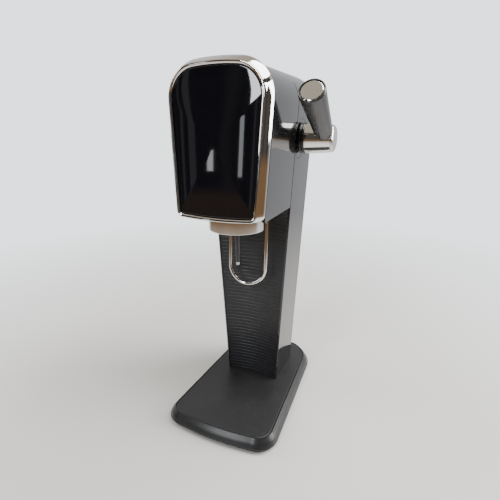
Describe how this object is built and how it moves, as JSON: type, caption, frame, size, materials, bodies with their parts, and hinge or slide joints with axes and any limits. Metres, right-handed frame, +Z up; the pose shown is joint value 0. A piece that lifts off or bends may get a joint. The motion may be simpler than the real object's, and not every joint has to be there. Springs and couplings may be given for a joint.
{
  "type": "soda carbonator",
  "caption": "Countertop soda carbonator: gloss black head on a ribbed column, chrome bottle collar, side pull lever, gas cylinder and valve inside.",
  "frame": {"origin": "the point on the table straight below the bottle axis, under the middle foot", "axes": "+Z up, -Y towards the user at the front of the head, +X towards the lever side"},
  "size_m": [0.179, 0.2406, 0.441],
  "materials": {
    "gloss_black": "high gloss moulded black",
    "piano_black": "mirror gloss black",
    "satin_black": "satin black",
    "matt_black": "fine matt black",
    "ribbed_black": "satin black with fine level ribs",
    "floor_grey": "moulded grey, unpolished",
    "chrome": "mirror chrome",
    "steel": "turned and pressed steel",
    "spring_steel": "drawn spring wire",
    "galvanised": "zinc-coated sheet",
    "brass": "turned brass",
    "rubber": "matt black rubber",
    "dark_plastic": "dark moulded plastic",
    "pale_plastic": "off-white plastic",
    "hose_grey": "smooth grey hose",
    "cylinder_paint": "satin blue-grey paint"
  },
  "bodies": {
    "root": {"base_floor": "floor_grey", "base_screw_1": "steel", "base_screw_2": "steel", "base_screw_3": "steel", "base_screw_4": "steel", "base_shell": "satin_black", "base_top_plate": "matt_black", "bottle_collar": "chrome", "bottle_seal": "rubber", "collar_screw_1": "steel", "collar_screw_2": "steel", "collar_screw_3": "steel", "column_front_panel": "ribbed_black", "column_shell": "gloss_black", "cylinder_seat": "rubber", "cylinder_valve": "brass", "foot_centre": "rubber", "foot_front_left": "rubber", "foot_front_right": "rubber", "foot_rear_left": "rubber", "foot_rear_right": "rubber", "front_bezel": "chrome", "front_panel": "piano_black", "gas_cylinder": "cylinder_paint", "gas_hose": "hose_grey", "head_frame": "galvanised", "head_shell": "gloss_black", "head_underplate": "satin_black", "lever_escutcheon": "gloss_black", "lever_return_spring": "spring_steel", "loop_bracket_left": "galvanised", "loop_bracket_right": "galvanised", "loop_pin_left": "steel", "loop_pin_right": "steel", "nozzle_block": "dark_plastic", "nozzle_tip": "pale_plastic", "nozzle_tube": "dark_plastic", "plunger_spring": "spring_steel", "relief_valve": "brass", "rocker_pin": "steel", "shaft_bush_left": "brass", "shaft_bush_right": "brass", "spine_plate": "galvanised", "valve_block": "dark_plastic"},
    "rear_cover": {"rear_cover": "gloss_black"},
    "lever": {"lever_flange": "gloss_black", "lever_shaft": "steel", "lever_hub": "chrome", "hub_end_cap": "chrome", "lever_grip": "matt_black", "grip_stud": "steel", "grip_end_cap": "chrome", "drive_cam": "steel"},
    "rocker": {"rocker_arm": "steel"},
    "plunger": {"valve_plunger": "brass", "valve_pin": "steel"},
    "guide_loop": {"guide_loop": "chrome", "loop_eye_left": "steel", "loop_eye_right": "steel"}
  },
  "joints": [
    {"name": "lever_pull", "type": "hinge", "parent": "root", "child": "lever", "pos_m": [0.0585, 0.0605, 0.36], "axis": [1, 0, 0], "range_deg": [0, 70], "stiffness_Nm_per_rad": 0.35, "springref_deg": -28.65},
    {"name": "rocker_tilt", "type": "hinge", "parent": "root", "child": "rocker", "pos_m": [0, 0.074, 0.396], "axis": [-1, 0, 0], "range_deg": [0, 7.2]},
    {"name": "plunger_press", "type": "slide", "parent": "root", "child": "plunger", "axis": [0, 0, -1], "range_m": [0, 0.0024], "stiffness_N_per_m": 300, "springref_m": -0.002, "deforming": ["plunger_spring"]},
    {"name": "guide_loop_swing", "type": "hinge", "parent": "root", "child": "guide_loop", "pos_m": [0, 0.037, 0.288], "axis": [-1, 0, 0], "range_deg": [-3, 10], "stiffness_Nm_per_rad": 0.05, "springref_deg": 2.18},
    {"name": "rear_cover_removal", "type": "slide", "parent": "root", "child": "rear_cover", "axis": [0, 1, 0], "range_m": [0, 0.06]}
  ],
  "couplings": [
    {"joint": "rocker_tilt", "follows": "lever_pull", "ratio": 0.10286},
    {"joint": "plunger_press", "follows": "lever_pull", "m_per_rad": 0.0019643}
  ]
}
